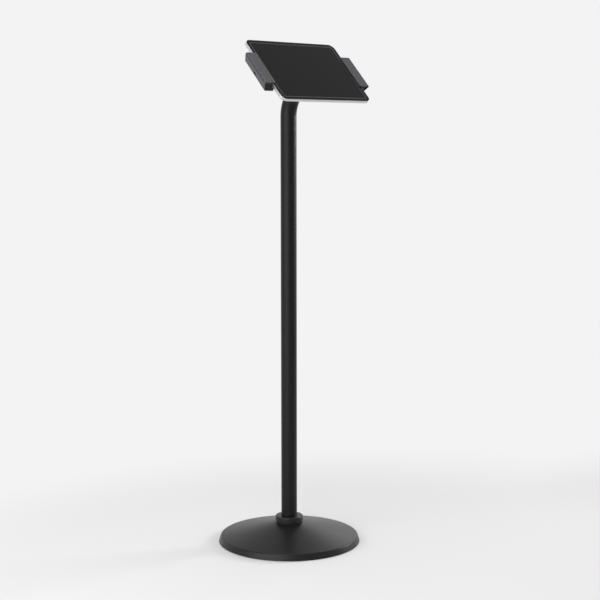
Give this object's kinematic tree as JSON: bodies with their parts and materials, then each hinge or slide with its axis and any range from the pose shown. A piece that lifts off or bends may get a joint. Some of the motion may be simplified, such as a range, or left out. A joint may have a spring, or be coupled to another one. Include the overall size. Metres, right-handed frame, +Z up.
{
  "type": "tablet floor stand",
  "caption": "Floor stand with a weighted round base, a bent pole and a tilting, swivelling clamp whose sprung jaws grip a tablet by its short edges.",
  "frame": {"origin": "on the floor, at the centre of the base under the pole", "axes": "+Z up the pole, -Y the side that the screen faces, +X to the right as seen by the user"},
  "size_m": [0.315, 0.315, 1.1001],
  "materials": {
    "black_steel": "satin powder coat",
    "ballast": "raw",
    "steel": "zinc plated",
    "black_alloy": "black anodised",
    "black_plastic": "fine texture",
    "grey_plastic": "fine texture",
    "rubber": "matte",
    "silver_alloy": "bead blasted",
    "tablet_core": "plain",
    "screen": "polished, display off"
  },
  "bodies": {
    "stand": {"base_shell": "black_steel", "base_weight": "ballast", "base_underplate": "black_steel", "underplate_screws": "steel", "floor_ring": "rubber", "base_bolt": "steel", "base_washer": "steel", "pole_spigot": "steel", "collar_gasket": "rubber", "collar": "black_alloy", "collar_grub_screws": "steel", "pole_tube": "black_steel", "neck_plug": "black_alloy", "tilt_bolt": "steel", "tilt_nut": "steel", "tilt_washers": "black_plastic"},
    "tilt_head": {"tilt_knuckle": "black_alloy", "swivel_disc": "black_plastic", "swivel_bolt": "steel", "swivel_washer": "steel"},
    "holder": {"clamp_housing": "black_plastic", "clamp_front_plate": "black_plastic", "clamp_pad": "rubber", "housing_screws": "steel", "return_spring": "steel"},
    "gear": {"pinion": "steel"},
    "left_grip": {"left_jaw": "grey_plastic", "left_core": "black_plastic", "left_lining": "rubber", "left_rail": "steel", "left_rail_screws": "steel", "release_spring": "steel"},
    "right_grip": {"right_jaw": "grey_plastic", "right_core": "black_plastic", "right_lining": "rubber", "right_rail": "steel", "right_rail_screws": "steel"},
    "release": {"release_plunger": "black_plastic"},
    "tablet": {"tablet_case": "silver_alloy", "tablet_core": "tablet_core", "tablet_glass": "screen", "tablet_camera": "black_plastic"}
  },
  "joints": [
    {"name": "tilt", "type": "hinge", "parent": "stand", "child": "tilt_head", "pos_m": [0, -0.04101, 1.0115], "axis": [1, 0, 0], "range_deg": [-30, 30]},
    {"name": "swivel", "type": "hinge", "parent": "tilt_head", "child": "holder", "pos_m": [0, -0.04101, 1.0115], "axis": [0, -0.7071, 0.7071], "continuous": true},
    {"name": "left_jaw_slide", "type": "slide", "parent": "holder", "child": "left_grip", "axis": [-1, 0, 0], "range_m": [0, 0.03], "stiffness_N_per_m": 100, "springref_m": -0.1},
    {"name": "right_jaw_slide", "type": "slide", "parent": "holder", "child": "right_grip", "axis": [1, 0, 0], "range_m": [0, 0.03]},
    {"name": "pinion_spin", "type": "hinge", "parent": "holder", "child": "gear", "pos_m": [0, -0.04101, 1.0115], "axis": [0, -0.7071, 0.7071], "range_deg": [0, 195], "deforming": ["return_spring"]},
    {"name": "release_press", "type": "slide", "parent": "left_grip", "child": "release", "axis": [1, 0, 0], "range_m": [0, 0.0025], "stiffness_N_per_m": 300, "springref_m": -0.002, "deforming": ["release_spring"]},
    {"name": "tablet_slide_out", "type": "slide", "parent": "holder", "child": "tablet", "axis": [0, 0.7071, 0.7071], "range_m": [0, 0.15]}
  ],
  "couplings": [
    {"joint": "right_jaw_slide", "follows": "left_jaw_slide", "ratio": 1},
    {"joint": "pinion_spin", "follows": "left_jaw_slide", "rad_per_m": 111.11}
  ]
}
